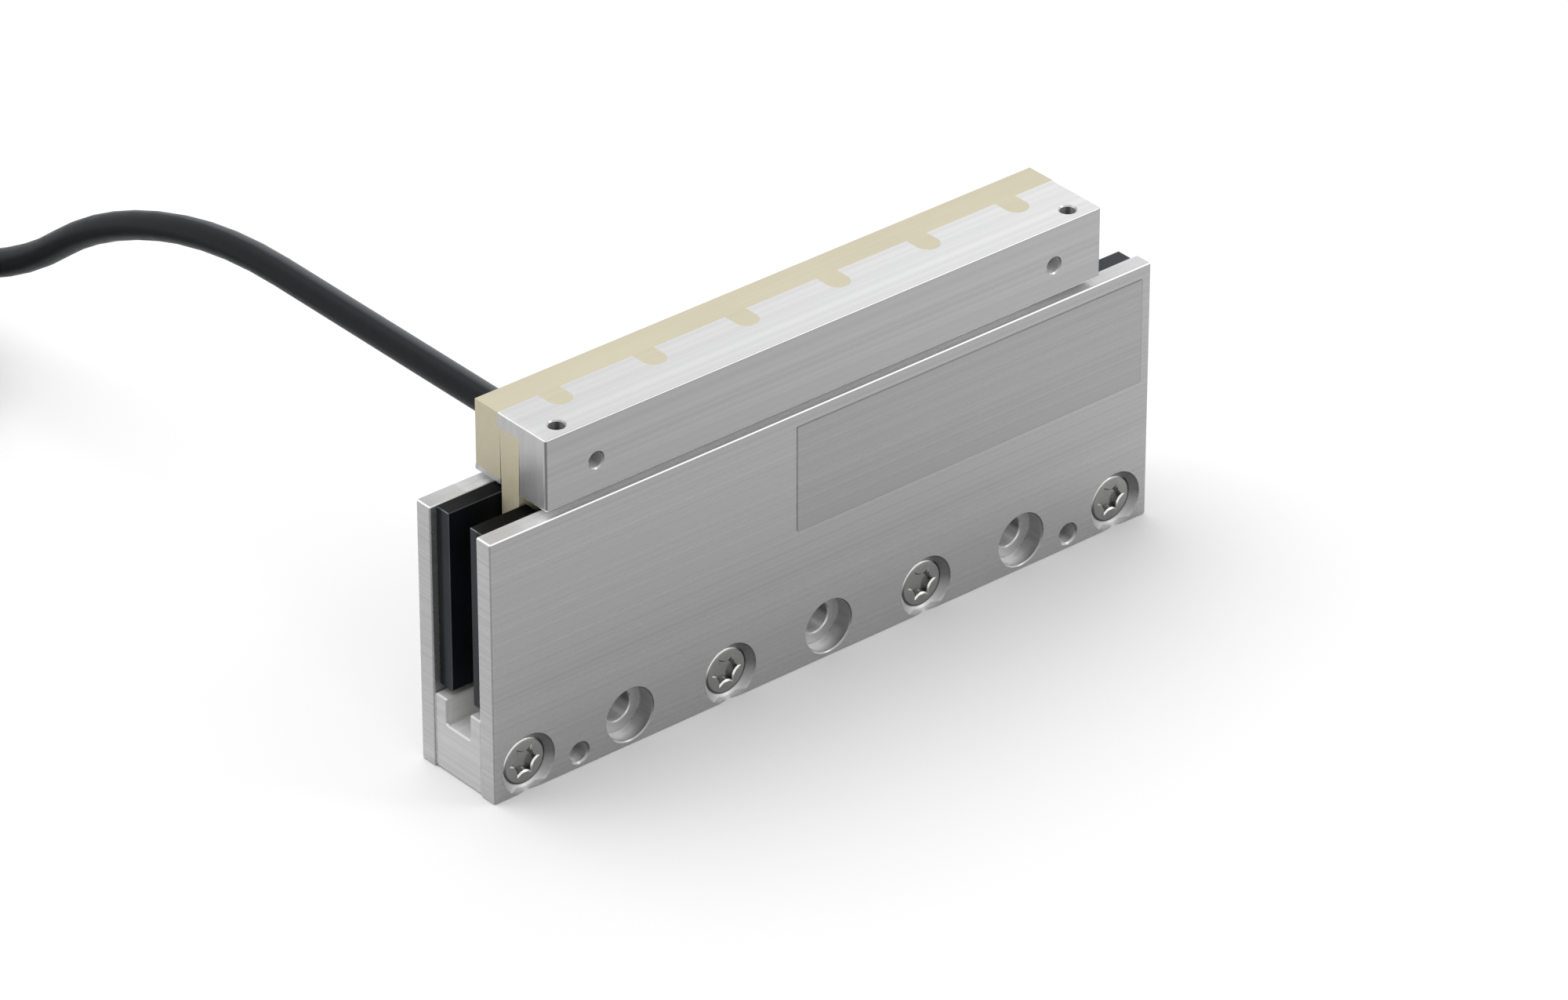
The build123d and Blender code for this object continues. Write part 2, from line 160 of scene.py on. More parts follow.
class CableSettings(bpy.types.PropertyGroup):
    """The cable and the way its spare length is wound"""

    diameter: bpy.props.FloatProperty(
        name="Diameter", description="Outer diameter of the jacket", default=0.0029, unit="LENGTH",
        precision=5)
    colour: bpy.props.FloatVectorProperty(
        name="Colour", description="Colour of the jacket", default=(0.013, 0.0145, 0.016), subtype="COLOR")
    wound_centre: bpy.props.FloatVectorProperty(
        name="Coil centre", description="The middle of the wound length on the floor",
        default=(-0.0495, 0.101, 0.0003), subtype="TRANSLATION", precision=6)
    wound_radius: bpy.props.FloatProperty(
        name="Coil radius", description="Radius at the middle of the wound turns", default=0.016,
        unit="LENGTH", precision=5)


# Modelling helpers

def start_piece():
    """Leaves edit mode and deselects everything, so that the next primitive is alone."""
    if bpy.context.mode != "OBJECT":
        bpy.ops.object.mode_set(mode="OBJECT")
    bpy.ops.object.select_all(action="DESELECT")


def make_active(*pieces):
    """Selects the pieces and no others; the last one is the active one."""
    start_piece()
    for piece in pieces:
        piece.select_set(True)
    bpy.context.view_layer.objects.active = pieces[-1]


def choose(kind, test):
    """In edit mode, selects the active piece's vertices, edges or faces that pass the test."""
    bpy.ops.mesh.select_mode(type=kind)
    bpy.ops.mesh.select_all(action="DESELECT")
    shape = bmesh.from_edit_mesh(bpy.context.object.data)
    elements = {"VERT": shape.verts, "EDGE": shape.edges, "FACE": shape.faces}[kind]
    for element in elements:
        if test(element):
            element.select_set(True)
    shape.select_flush_mode()
    bmesh.update_edit_mesh(bpy.context.object.data)


def turned(name, profile, corners):
    """A piece turned about Z: one disc, extruded and resized to each radius and height of the profile."""
    start_piece()
    radius, height = profile[0]
    bpy.ops.mesh.primitive_circle_add(
        vertices=corners, radius=radius, fill_type="NGON", location=(0, 0, height))
    piece = bpy.context.object
    piece.name = name
    bpy.ops.object.mode_set(mode="EDIT")
    bpy.ops.mesh.select_all(action="SELECT")
    for new_radius, new_height in profile[1:]:
        bpy.ops.mesh.extrude_region_move(TRANSFORM_OT_translate={"value": (0, 0, new_height - height)})
        share = new_radius / radius
        bpy.ops.transform.resize(value=(share, share, 1))
        radius, height = new_radius, new_height
    bpy.ops.mesh.select_all(action="SELECT")
    bpy.ops.mesh.normals_make_consistent(inside=False)
    bpy.ops.object.mode_set(mode="OBJECT")
    bpy.ops.object.transform_apply(location=True, rotation=False, scale=False)
    return piece


def cut(piece, cutter):
    """Takes the cutter's shape out of the piece."""
    make_active(piece)
    modifier = piece.modifiers.new("Cut", "BOOLEAN")
    modifier.operation = "DIFFERENCE"
    modifier.solver = "EXACT"
    modifier.object = cutter
    bpy.ops.object.modifier_apply(modifier=modifier.name)
    bpy.data.objects.remove(cutter)


def smooth(piece, angle=30):
    """Shades the piece smooth, with its edges over that angle left crisp."""
    make_active(piece)
    bpy.ops.object.shade_smooth_by_angle(angle=radians(angle))


def place(piece, name, matrix, body, material, *nodes):
    """Brings a piece into the frame by its mesh, dresses it and lets it ride on its body."""
    piece.name = name
    piece.data.name = name
    piece.data.transform(matrix)
    piece.data.materials.clear()
    piece.data.materials.append(material)
    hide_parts(*nodes)
    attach(piece, body)
    return piece


def copied(piece):
    """A copy of a piece with a mesh of its own."""
    twin = piece.copy()
    twin.data = piece.data.copy()
    bpy.context.scene.collection.objects.link(twin)
    return twin


# Material helpers

def node(tree, kind, sockets=None, **settings):
    """Adds a node, sets its options, and links or fills its input sockets."""
    made = tree.nodes.new(kind)
    for key, value in settings.items():
        setattr(made, key, value)
    for key, value in (sockets or {}).items():
        if isinstance(value, bpy.types.NodeSocket):
            tree.links.new(value, made.inputs[key])
        else:
            made.inputs[key].default_value = value
    return made


def new_finish(name, **constants):
    """A material with its tree and its shader, whose constant sockets are set."""
    material = bpy.data.materials.new(name)
    material.use_nodes = True
    tree = material.node_tree
    shader = tree.nodes["Principled BSDF"]
    for key, value in constants.items():
        shader.inputs[key.replace("_", " ").title()].default_value = value
    return material, tree, shader


def calculated(tree, operation, first, second=0.0):
    """The result of a Math node."""
    return node(tree, "ShaderNodeMath", {0: first, 1: second}, operation=operation).outputs[0]


def product(tree, result, *factors):
    """All the values multiplied."""
    for factor in factors:
        result = calculated(tree, "MULTIPLY", result, factor)
    return result


def largest(tree, result, *others):
    """The largest of the values."""
    for other in others:
        result = calculated(tree, "MAXIMUM", result, other)
    return result


def opposite(tree, share):
    """What a share leaves of 1."""
    return calculated(tree, "SUBTRACT", 1.0, share)


def ramp(tree, value, low, high, from_low=0.0, from_high=1.0):
    """The value brought from one range to another, and kept inside it."""
    sockets = {"Value": value, "From Min": from_low, "From Max": from_high, "To Min": low, "To Max": high}
    return node(tree, "ShaderNodeMapRange", sockets, clamp=True).outputs["Result"]


def fade(tree, distance, low, high, start, end):
    """A ramp over a distance whose start and end are given in millimetres."""
    return ramp(tree, distance, low, high, start * MM, end * MM)


def noise(tree, point, scale, detail, roughness):
    """Noise whose scale along each axis is in patches per millimetre."""
    per_metre = tuple(s / MM for s in scale)
    stretched = node(tree, "ShaderNodeMapping", {"Vector": point, "Scale": per_metre})
    sockets = {"Vector": stretched.outputs[0], "Scale": 1.0, "Detail": detail, "Roughness": roughness}
    return node(tree, "ShaderNodeTexNoise", sockets).outputs["Fac"]


def mixed(tree, share, first, second):
    """Two values mixed by a share."""
    made = node(tree, "ShaderNodeMix", {0: share, 2: first, 3: second}, data_type="FLOAT")
    return made.outputs[0]


def tinted(tree, colour, lightness):
    """A colour made darker or lighter by a value round 1."""
    scaled = node(tree, "ShaderNodeVectorMath", {0: tuple(colour), 3: lightness}, operation="SCALE")
    return scaled.outputs[0]


def use(tree, shader, **links):
    """Links values to the shader's sockets."""
    for key, value in links.items():
        tree.links.new(value, shader.inputs[key.replace("_", " ").title()])


def bumped(tree, height, distance):
    """The normal that a height map gives; the distance is in millimetres."""
    sockets = {"Height": height, "Distance": distance * MM, "Strength": 1.0}
    return node(tree, "ShaderNodeBump", sockets).outputs["Normal"]


# Finishes

def surface(tree):
    """A point in the frame, the signed parts of its normal, and their sizes."""
    coordinates = node(tree, "ShaderNodeTexCoord").outputs
    facing = node(tree, "ShaderNodeSeparateXYZ", {0: coordinates["Normal"]}).outputs
    unsigned = node(tree, "ShaderNodeVectorMath", {0: coordinates["Normal"]}, operation="ABSOLUTE")
    sides = node(tree, "ShaderNodeSeparateXYZ", {0: unsigned.outputs[0]}).outputs
    return coordinates["Object"], facing, sides


def box_depths(tree, point, low, high):
    """A point's smallest and second distance from a box's sides: they tell hole walls and outer edges."""
    from_low = node(tree, "ShaderNodeVectorMath", {0: point, 1: tuple(low)}, operation="SUBTRACT")
    to_high = node(tree, "ShaderNodeVectorMath", {0: tuple(high), 1: point}, operation="SUBTRACT")
    nearer = node(tree, "ShaderNodeVectorMath", {0: from_low.outputs[0], 1: to_high.outputs[0]},
                  operation="MINIMUM")
    depth = node(tree, "ShaderNodeSeparateXYZ", {0: nearer.outputs[0]}).outputs
    less = calculated(tree, "MINIMUM", depth["X"], depth["Y"])
    more = largest(tree, depth["X"], depth["Y"])
    smallest = calculated(tree, "MINIMUM", less, depth["Z"])
    second = largest(tree, less, calculated(tree, "MINIMUM", more, depth["Z"]))
    return smallest, second


def straight_streaks(tree, point, across, lengthwise):
    """Long straight streaks along X, with some broad ones; the two scales are in lines per millimetre."""
    fine = noise(tree, point, (lengthwise, across, across), 1, 0.4)
    broad = noise(tree, point, (lengthwise / 2, across / 6, across / 6), 1, 0.5)
    return calculated(tree, "ADD", product(tree, fine, 0.65), product(tree, broad, 0.35))


# How brushed metal looks where a piece doesn't say otherwise. A gain is how light a place is, as a share of
# the metal's own colour: all the gains are painted light and shade.
BRUSHED = {
    "across": 3.0,               # streaks for each millimetre across them
    "end_grain": (1, 0.012, 1),  # shares of that along X, Y and Z on the end faces
    "slope": 0.05,               # painted shade and light along X: the left end is this much darker; the right end is 0.05 lighter
    "metal": 0.8,                # metallic share on the front and rear faces
    "end_metal": 0.8,            # and on the end faces
    "side_gain": 1.0,            # painted light and shade on the front and rear faces
    "top_gain": 1.0,             # painted light on the level faces
    "under_gain": 1.0,           # painted light on faces that look down
    "end_gain": 1.0,             # painted light and shade on the end faces, a little lighter at their foot
    "trough_gain": 1.0,          # painted light on the floor of a trough
    "rim_gain": 2.1,             # painted highlight on the upper edges
    "corner_gain": 0.65,         # painted shade on upright edges in front
    "foot_gain": 0.9,            # painted light and shade on lower edges
    "rim_width": 0.4,            # how far an edge may be from the sides of the piece, in millimetres
    "hole_gain": 1.0,            # painted light and shade on the walls of holes
    "dowel_gain": 1.0,           # more painted light in dowel holes, on top of that
    "crown": (1.0, 1.0, 1.0),    # painted reflection of the coil unit on the top left of it: at its far end, close by, and a step beside it
    "shaded": (1.0, 1.0),        # painted light in the coil unit's shade on the top: at the front edge and 1 mm behind it
}
# Along the yoke, in millimetres: half its length, where the coil unit begins at rest, and the dowel holes
YOKE_END = 40
UNIT_END = 33.4
DOWEL_SPOT = 30


def metal_places(tree, low, high, rim_width):
    """Where a piece's edges, ends, level faces, sides and holes are, each as a share from 0 to 1."""
    point, facing, sides = surface(tree)
    spot = node(tree, "ShaderNodeSeparateXYZ", {0: point}).outputs
    depth, edge_depth = box_depths(tree, point, low, high)
    flattest = largest(tree, sides["X"], sides["Y"], sides["Z"])
    tilted = ramp(tree, flattest, 1.0, 0.0, 0.85, 0.99)
    at_rim = fade(tree, edge_depth, 1.0, 0.0, rim_width, rim_width + 0.15)
    above_foot = ramp(tree, spot["Z"], 0.0, 1.0, low.z + 1 * MM, low.z + 2 * MM)
    return SimpleNamespace(
        point=point, facing=facing, sides=sides, spot=spot, tilted=tilted, at_rim=at_rim,
        edge=product(tree, tilted, at_rim),
        hole=fade(tree, depth, 0.0, 1.0, 0.1, 0.22),
        end=ramp(tree, sides["X"], 0.0, 1.0, 0.6, 0.8),
        level=ramp(tree, sides["Z"], 0.0, 1.0, 0.5, 0.9),
        side=ramp(tree, sides["Y"], 0.0, 1.0, 0.9, 0.99),
        upper=product(tree, ramp(tree, facing["Z"], 0.0, 1.0, 0.1, 0.5), above_foot))


def top_lightness(tree, on, low, look):
    """How light the level faces are, with a painted reflection of the coil unit beside it and painted light in
    its shade under it.
    """
    far, near, step = look.crown
    elsewhere = 0.93
    beside_unit = product(
        tree,
        fade(tree, on.spot["X"], far, near, -YOKE_END, -UNIT_END - 0.2),
        fade(tree, on.spot["X"], 1.0, step, -UNIT_END - 2.5, -UNIT_END - 2.2),
        fade(tree, on.spot["X"], 1.0, elsewhere / (near * step), -UNIT_END, -UNIT_END + 1))
    under_unit = product(
        tree,
        fade(tree, on.spot["X"], 0.0, 1.0, -UNIT_END, -UNIT_END + 1),
        fade(tree, on.spot["X"], 1.0, 0.0, UNIT_END - 9.4, UNIT_END + 0.3))
    inwards = ramp(tree, on.spot["Y"], *look.shaded, low.y + 0.1 * MM, low.y + 1 * MM)
    lit = product(tree, beside_unit, mixed(tree, under_unit, 1.0, inwards))
    return product(tree, mixed(tree, on.edge, lit, 1.0), look.top_gain)


def face_lightness(tree, on, low, look):
    """The painted light and shade of the flat faces, from under the piece to its troughs."""
    trough = product(tree, on.hole, ramp(tree, on.facing["Z"], 0.0, 1.0, 0.9, 0.99))
    end = fade(tree, on.spot["Z"], 1.18 * look.end_gain, look.end_gain, 1, 12)
    return product(
        tree,
        ramp(tree, on.facing["Z"], look.under_gain, 1.0, -0.9, -0.5),
        mixed(tree, on.side, 1.0, mixed(tree, on.hole, look.side_gain, 0.84)),
        fade(tree, on.spot["X"], 1 - look.slope, 1.05, -38, 38),
        mixed(tree, on.level, 1.0, top_lightness(tree, on, low, look)),
        mixed(tree, on.end, 1.0, end),
        mixed(tree, trough, 1.0, look.trough_gain))


def edge_lightness(tree, on, look):
    """Painted highlights and shade on the chamfered edges: upright ones behind get the most painted light."""
    behind = ramp(tree, on.facing["Y"], 0.0, 1.0, -0.2, 0.2)
    upright = mixed(tree, behind, look.corner_gain, 3.6)
    sloping = mixed(tree, on.upper, upright, look.rim_gain)
    facing_down = ramp(tree, on.facing["Z"], 1.0, 0.0, -0.4, -0.1)
    return mixed(tree, on.edge, 1.0, mixed(tree, facing_down, sloping, look.foot_gain))


def hole_lightness(tree, on, look):
    """Painted light and shade in the holes: their round walls, and the cones and chamfers at their mouths."""
    wall = ramp(tree, on.facing["X"], 0.56 * look.hole_gain, 1.35 * look.hole_gain, -0.7, 0.2)
    from_middle = calculated(tree, "ABSOLUTE", on.spot["X"])
    from_dowel = calculated(tree, "ABSOLUTE", calculated(tree, "SUBTRACT", from_middle, DOWEL_SPOT * MM))
    near_dowel = fade(tree, from_dowel, 1.0, 0.0, 1.4, 1.6)
    wall = product(tree, wall, mixed(tree, near_dowel, 1.0, look.dowel_gain))
    raised = calculated(tree, "ADD", on.facing["Z"], product(tree, on.facing["X"], 0.6))
    mouth = ramp(tree, raised, 0.3, 1.4, -0.45, 0.6)
    coned = product(tree, on.tilted, ramp(tree, on.sides["Y"], 0.0, 1.0, 0.3, 0.6))
    # The upper rims, which carry the painted highlight, stay out of the holes' painted light and shade
    highlit_rim = product(tree, on.at_rim, on.upper)
    inside = product(tree, on.hole, opposite(tree, highlit_rim), opposite(tree, on.side))
    inside = largest(tree, inside, product(tree, on.tilted, opposite(tree, on.at_rim)))
    return mixed(tree, inside, 1.0, mixed(tree, coned, wall, mouth))


def brushed_metal(name, colour, roughness, low, high, **changes):
    """Metal brushed along X, and another way on its ends, with painted light and shade on its faces, painted
    highlights on its upper edges, and duller holes.
    """
    look = SimpleNamespace(**{**BRUSHED, **changes})
    material, tree, shader = new_finish(name)
    on = metal_places(tree, low, high, look.rim_width)
    end_streaks = noise(tree, on.point, [look.across * share for share in look.end_grain], 2, 0.5)
    streaks = mixed(tree, on.end, straight_streaks(tree, on.point, look.across, 0.002), end_streaks)
    lightness = product(
        tree,
        ramp(tree, streaks, 0.93, 1.07, 0.33, 0.67),
        face_lightness(tree, on, low, look),
        edge_lightness(tree, on, look),
        hole_lightness(tree, on, look))
    metal = mixed(tree, on.level, mixed(tree, on.end, look.metal, look.end_metal), 0.25)
    rough = ramp(tree, streaks, roughness + 0.02, roughness - 0.02, 0.35, 0.65)
    use(tree, shader,
        base_color=tinted(tree, colour, lightness),
        metallic=mixed(tree, on.hole, metal, 0.35),
        roughness=mixed(tree, on.hole, rough, 0.4),
        normal=bumped(tree, streaks, 0.0003))
    return material


def cast_resin(name, colour):
    """Casting resin, slightly cloudy, milled along X together with the bar."""
    material, tree, shader = new_finish(name)
    point = node(tree, "ShaderNodeTexCoord").outputs["Object"]
    cloud = noise(tree, point, (0.12, 0.25, 0.25), 3, 0.5)
    marks = straight_streaks(tree, point, 3.5, 0.02)
    lightness = calculated(tree, "ADD", ramp(tree, cloud, 0.97, 1.02, 0.3, 0.7),
                           ramp(tree, marks, -0.035, 0.035, 0.35, 0.65))
    use(tree, shader,
        base_color=tinted(tree, colour, lightness),
        roughness=ramp(tree, marks, 0.42, 0.5, 0.35, 0.65),
        normal=bumped(tree, marks, 0.004))
    return material


def coated_magnet(name, colour):
    """Black coating with the faint orange peel of a sprayed film, with a painted reflection on its ends,
    painted light and shade on its tops and painted highlights on its edges.
    """
    material, tree, shader = new_finish(name)
    shader.inputs["Specular IOR Level"].default_value = 0.06
    point, facing, sides = surface(tree)
    spot = node(tree, "ShaderNodeSeparateXYZ", {0: point}).outputs
    on_end = ramp(tree, sides["X"], 0.0, 1.0, 0.6, 0.8)
    on_top = ramp(tree, facing["Z"], 0.0, 1.0, 0.75, 0.95)
    on_edge = ramp(tree, largest(tree, sides["X"], sides["Y"], sides["Z"]), 1.0, 0.0, 0.8, 0.95)
    peel = noise(tree, point, (2.5, 2.5, 2.5), 2, 0.5)
    smears = noise(tree, point, (0.3, 0.3, 0.12), 3, 0.6)
    # Painted reflection on the ends, lightest towards the slot; painted light on the tops at the right end of
    # the yoke, and painted shade on them elsewhere
    end_gain = fade(tree, calculated(tree, "ABSOLUTE", spot["Y"]), 4.2, 1.6, 2.4, 2.7)
    top_gain = fade(tree, spot["X"], 0.15, 4.5, 30, 36)
    # Painted highlight on the edges, strongest where they face up
    edge_highlight = ramp(tree, facing["Z"], 3.5, 9.0, 0.2, 0.5)
    lightness = product(
        tree,
        ramp(tree, smears, 0.8, 1.3, 0.3, 0.7),
        mixed(tree, on_end, 1.0, end_gain),
        mixed(tree, on_top, 1.0, top_gain),
        mixed(tree, on_edge, 1.0, edge_highlight))
    use(tree, shader,
        base_color=tinted(tree, colour, lightness),
        roughness=ramp(tree, smears, 0.3, 0.42, 0.3, 0.7),
        normal=bumped(tree, peel, 0.006))
    return material


def turned_steel(name, colour, edge_highlight=1.0):
    """Steel with fine turning marks; tilted faces that look up and to the left get a painted highlight, other
    tilted faces painted shade, and steep walls a little painted light.
    """
    material, tree, shader = new_finish(name, Metallic=1.0)
    point, facing, sides = surface(tree)
    marks = noise(tree, point, (1.5, 3.0, 1.5), 3, 0.5)
    raised = calculated(tree, "ADD", facing["Z"], product(tree, facing["X"], -0.45))
    lit = ramp(tree, raised, 0.0, 1.0, 0.2, 0.55)
    tilted = product(tree, ramp(tree, sides["Y"], 0.0, 1.0, 0.3, 0.5),
                     ramp(tree, sides["Y"], 1.0, 0.0, 0.93, 0.985))
    steep = ramp(tree, sides["Y"], 1.0, 0.0, 0.3, 0.5)
    gain = mixed(tree, tilted, 1.0, mixed(tree, lit, 0.4, edge_highlight))
    lightness = product(tree, mixed(tree, steep, gain, 1.15), ramp(tree, marks, 0.94, 1.06, 0.3, 0.7))
    use(tree, shader,
        base_color=tinted(tree, colour, lightness),
        roughness=ramp(tree, marks, 0.2, 0.28, 0.3, 0.7),
        normal=bumped(tree, marks, 0.004))
    return material


def plain_plastic(name, colour, roughness, grain=1.5, depth=0.01):
    """Moulded plastic or rubber with a fine grain."""
    material, tree, shader = new_finish(name)
    point = node(tree, "ShaderNodeTexCoord").outputs["Object"]
    skin = noise(tree, point, (grain, grain, grain), 3, 0.6)
    use(tree, shader,
        base_color=tinted(tree, colour, ramp(tree, skin, 0.9, 1.1, 0.3, 0.7)),
        roughness=ramp(tree, skin, roughness - 0.04, roughness + 0.06, 0.3, 0.7),
        normal=bumped(tree, skin, depth))
    return material


def jacket_rubber(name, colour):
    """Satin cable jacket, with a painted highlight where it faces the sky, a little towards +X."""
    material, tree, shader = new_finish(name)
    shader.inputs["Specular IOR Level"].default_value = 0.07
    coordinates = node(tree, "ShaderNodeTexCoord").outputs
    skin = noise(tree, coordinates["Object"], (1.2, 1.2, 1.2), 2, 0.5)
    raised = node(tree, "ShaderNodeVectorMath", {0: coordinates["Normal"], 1: (0.5, 0.0, 0.87)},
                  operation="DOT_PRODUCT").outputs["Value"]
    lightness = product(tree, ramp(tree, raised, 1.0, 5.5, 0.7, 1.0), ramp(tree, skin, 0.93, 1.07, 0.3, 0.7))
    use(tree, shader,
        base_color=tinted(tree, colour, lightness),
        roughness=ramp(tree, skin, 0.34, 0.42, 0.3, 0.7),
        normal=bumped(tree, skin, 0.004))
    return material


def wire_winding(name, colour):
    """Enamelled copper wire laid side by side."""
    material, tree, shader = new_finish(name, Metallic=1.0)
    point = node(tree, "ShaderNodeTexCoord").outputs["Object"]
    strands = noise(tree, point, (4.0, 4.0, 0.2), 2, 0.5)
    use(tree, shader,
        base_color=tinted(tree, colour, ramp(tree, strands, 0.7, 1.2, 0.3, 0.7)),
        roughness=ramp(tree, strands, 0.3, 0.45, 0.3, 0.7),
        normal=bumped(tree, strands, 0.03))
    return material


def dress(material, *names):
    """Gives CAD nodes their material."""
    for name in names:
        slots = frame["nodes"][name].data.materials
        slots.clear()
        slots.append(material)


def numbered(stem, count):
    """The names of a row of like nodes."""
    return [f"{stem}_{i}" for i in range(1, count + 1)]


# Operators

class MOTOR_OT_set_camera(bpy.types.Operator):
    """Puts the camera where the motor is seen from its front left, from above"""

    bl_idname = "motor.set_camera"
    bl_label = "Set the camera"

    def execute(self, context):
        stage = context.scene.motor_stage
        flat = cos(stage.elevation)
        back = Vector((sin(stage.azimuth) * flat, -cos(stage.azimuth) * flat, sin(stage.elevation)))
        start_piece()
        bpy.ops.object.camera_add(location=Vector(stage.target) + back * stage.distance)
        camera = context.object
        camera.name = "motor_camera"
        camera.rotation_euler = (-back).to_track_quat("-Z", "Y").to_euler()
        camera.data.lens = stage.lens
        camera.data.sensor_width = 36.0
        camera.data.clip_start = 0.01
        camera.data.clip_end = 50.0
        context.scene.camera = camera
        context.scene.view_settings.view_transform = "Standard"
        return {"FINISHED"}


# The cable's route: out of the resin block, straight back, and down to the wound length on the floor
CABLE_ROUTE = [
    (-28.72, 3.3, 32.2),
    (-28.72, 30.0, 32.2),
    (-28.72, 50.0, 32.2),
    (-28.9, 68.8, 25.4),
    (-29.5, 81.5, 15.0),
]
TAIL_ROUTE = [
    (-69.0, 85.0, 1.5),
    (-71.2, 71.0, 1.75),
]
# Layer and column of each turn of the wound length, from the top outer turn to the lowest outer one
TURN_ORDER = [(2, 2), (2, 1), (2, 0), (1, 0), (0, 0), (0, 1), (1, 1), (1, 2), (0, 2)]
POINTS_PER_TURN = 16


def wound_points(settings):
    """The wound length: each turn moves over to the next place in the bundle over a short stretch."""
    centre = Vector(settings.wound_centre)
    turns = len(TURN_ORDER) - 0.5
    shift = radians(40)
    shift_start = 2 * pi - shift
    # The curve runs inside its control points, so they stand a little further out
    spread = 1 / cos(pi / POINTS_PER_TURN)
    points = []
    for i in range(int(turns * POINTS_PER_TURN) + 1):
        turn, step = divmod(i, POINTS_PER_TURN)
        angle = 2 * pi * step / POINTS_PER_TURN
        share = min(max((angle - shift_start + turn * shift) / shift, 0.0), 1.0)
        if turn == len(TURN_ORDER) - 1:
            share = 0.0
        here = TURN_ORDER[turn]
        after = TURN_ORDER[min(turn + 1, len(TURN_ORDER) - 1)]
        layer = here[0] + (after[0] - here[0]) * share
        column = here[1] + (after[1] - here[1]) * share
        reach = (settings.wound_radius + (column - 1) * settings.diameter) * spread
        height = (layer + 0.5) * settings.diameter
        points.append(centre + Vector((reach * cos(angle), reach * sin(angle), height)))
    return points


class MOTOR_OT_lay_cable(bpy.types.Operator):
    """Lays the cable from the resin block to the floor and winds its spare length"""

    bl_idname = "motor.lay_cable"
    bl_label = "Lay the cable"

    def execute(self, context):
        settings = context.scene.motor_cable
        route = [Vector(p) * MM for p in CABLE_ROUTE]
        tail = [Vector(p) * MM for p in TAIL_ROUTE]
        points = route + wound_points(settings) + tail
        line = bpy.data.curves.new("cable_line", "CURVE")
        line.dimensions = "3D"
        spline = line.splines.new("NURBS")
        spline.points.add(len(points) - 1)
        for control, point in zip(spline.points, points):
            control.co = (*point, 1.0)
        spline.order_u = 3
        spline.use_endpoint_u = True
        line.resolution_u = 5
        line.bevel_depth = settings.diameter / 2
        line.bevel_resolution = 5
        line.use_fill_caps = True
        cable = bpy.data.objects.new("motor_cable", line)
        context.scene.collection.objects.link(cable)
        jacket = jacket_rubber("cable_jacket_finish", settings.colour)
        cable.data.materials.append(jacket)
        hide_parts("cable", "cable_coil", "cable_tail")
        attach(cable, "coil_unit")
        with_pieces = [bpy.data.objects[n] for n in ("motor_cable_tie", "motor_end_sleeve", "motor_ferrules")]
        with_pieces += [frame["nodes"][n] for n in numbered("lead", 4)]
        return {"FINISHED"}


class MOTOR_OT_finish_yoke(bpy.types.Operator):
    """Finishes the steel plates, the spacer and the magnets"""

    bl_idname = "motor.finish_yoke"
    bl_label = "Finish the yoke"

    def execute(self, context):
        colours = context.scene.motor_finish
        # Painted reflection of the coil unit on each plate's top beside it, and painted light in its shade
        # under it
        for piece, crown, shaded in (("front_yoke_plate", (1.02, 1.45, 1.08), (0.7, 1.95)),
                                     ("rear_yoke_plate", (0.68, 1.2, 1.2), (1.0, 1.0))):
            metal = brushed_metal(f"{piece}_finish", colours.steel, 0.28, *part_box(piece), across=2.8,
                                  top_gain=1.25, end_gain=1.15, dowel_gain=1.3, crown=crown, shaded=shaded)
            dress(metal, piece)
        # Painted light: the spacer's steel is 2.2 times lighter than the plates', and painted shade brings its
        # front, rear and end faces down again, so its trough and holes read light
        lighter = [2.2 * part for part in colours.steel]
        metal = brushed_metal("yoke_spacer_finish", lighter, 0.35, *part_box("yoke_spacer"), across=1.8,
                              metal=0.4, end_metal=0.4, side_gain=0.6, end_gain=0.56, trough_gain=1.2,
                              rim_gain=1.05, corner_gain=0.55, rim_width=3.5, hole_gain=0.65)
        dress(metal, "yoke_spacer")
        magnets = numbered("front_magnet", 10) + numbered("rear_magnet", 10)
        dress(coated_magnet("magnet_coating_finish", colours.magnet), *magnets)
        return {"FINISHED"}


# Colours of what the picture doesn't show
COPPER = (0.72, 0.33, 0.17)
BOARD_GREEN = (0.02, 0.12, 0.05)
SENSOR_BLACK = (0.02, 0.02, 0.02)
LEAD_COLOURS = [(0.13, 0.05, 0.02), (0.012, 0.012, 0.012), (0.2, 0.2, 0.21), (0.1, 0.3, 0.05)]
TIE_BLACK = (0.018, 0.018, 0.019)
SLEEVE_BLACK = (0.012, 0.012, 0.012)
TIN = (0.62, 0.62, 0.60)


class MOTOR_OT_finish_coil_unit(bpy.types.Operator):
    """Finishes the mounting bar, the resin castings and what they hold"""

    bl_idname = "motor.finish_coil_unit"
    bl_label = "Finish the coil unit"

    def execute(self, context):
        colours = context.scene.motor_finish
        # Painted light on the bar's top, underside, foot, ends and holes, a painted highlight on its upper
        # edges and painted shade on its upright corners
        for piece, roughness in (("mounting_bar", 0.26), ("block_base_strip", 0.3)):
            metal = brushed_metal(f"{piece}_finish", colours.aluminium, roughness, *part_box(piece), across=1.8,
                                  end_grain=(1, 1, 0.012), slope=0.12, end_metal=0.55, top_gain=1.37,
                                  under_gain=2.5, end_gain=1.3, rim_gain=1.6, corner_gain=0.36,
                                  foot_gain=2.5, hole_gain=1.35)
            dress(metal, piece)
        resin = cast_resin("casting_resin_finish", colours.resin)
        dress(resin, "wiring_block", "coil_carrier", "carrier_cover")
        copper = wire_winding("copper_winding_finish", COPPER)
        dress(copper, *numbered("coil", 6), "coil_leads", "cable_cores")
        dress(plain_plastic("board_laminate_finish", BOARD_GREEN, 0.4), "interconnect_board")
        dress(plain_plastic("sensor_case_finish", SENSOR_BLACK, 0.5), "temperature_sensor")
        for name, colour in zip(numbered("lead", 4), LEAD_COLOURS):
            dress(plain_plastic(f"{name}_finish", colour, 0.32), name)
        return {"FINISHED"}


